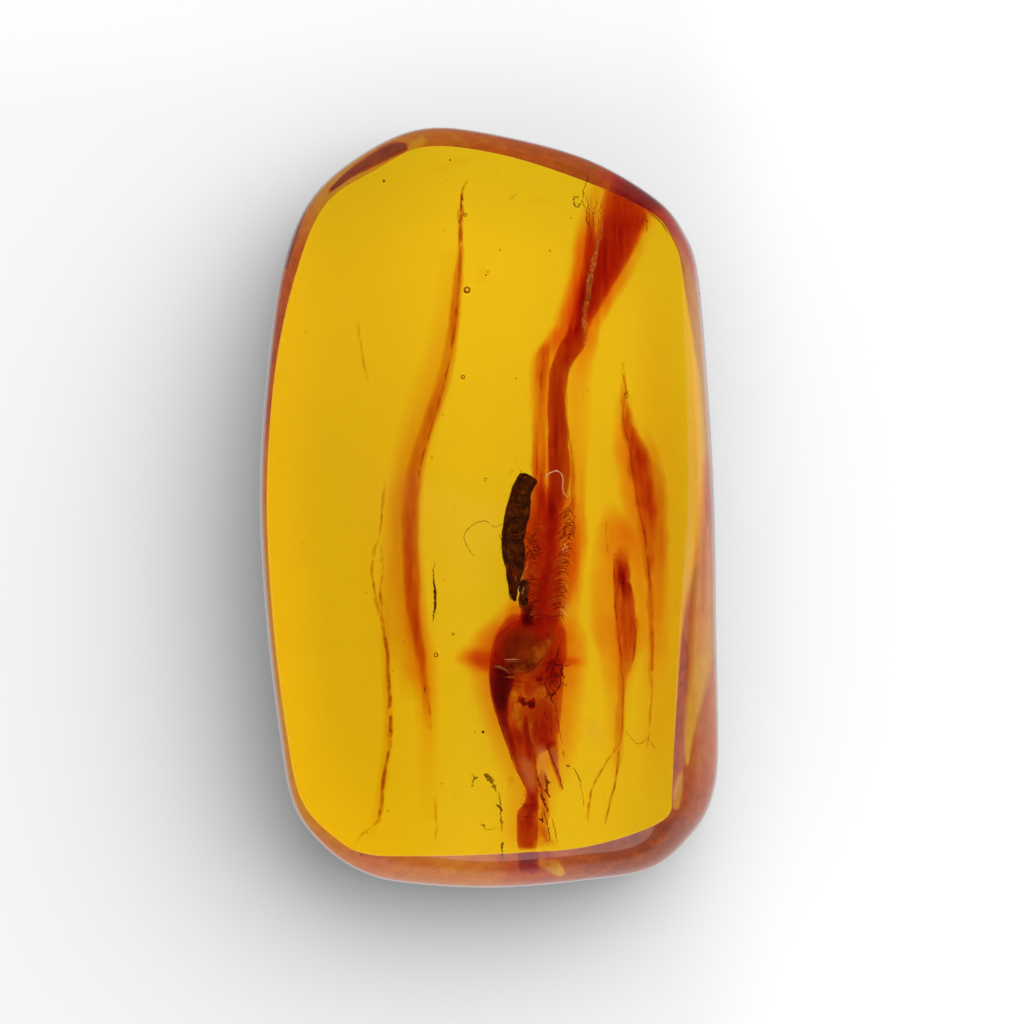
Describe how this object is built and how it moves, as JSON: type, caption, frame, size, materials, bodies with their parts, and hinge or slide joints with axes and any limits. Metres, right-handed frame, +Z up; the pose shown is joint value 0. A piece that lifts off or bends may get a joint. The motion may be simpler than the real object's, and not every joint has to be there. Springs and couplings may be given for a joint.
{
  "type": "insect in amber",
  "caption": "Polished slab of clear golden amber with an insect, red flow bands, cracks and bubbles sealed inside, lying on its flat underside.",
  "frame": {"origin": "centre of the slab's bounding box in plan, on the plane of its flat underside", "axes": "+Z up out of the polished top face, +Y along the slab towards its narrower, peaked end, +X towards the side with the wider bevel"},
  "size_m": [0.0242, 0.04, 0.0086],
  "materials": {
    "amber": "polished"
  },
  "bodies": {
    "root": {"amber": "amber"}
  },
  "joints": []
}
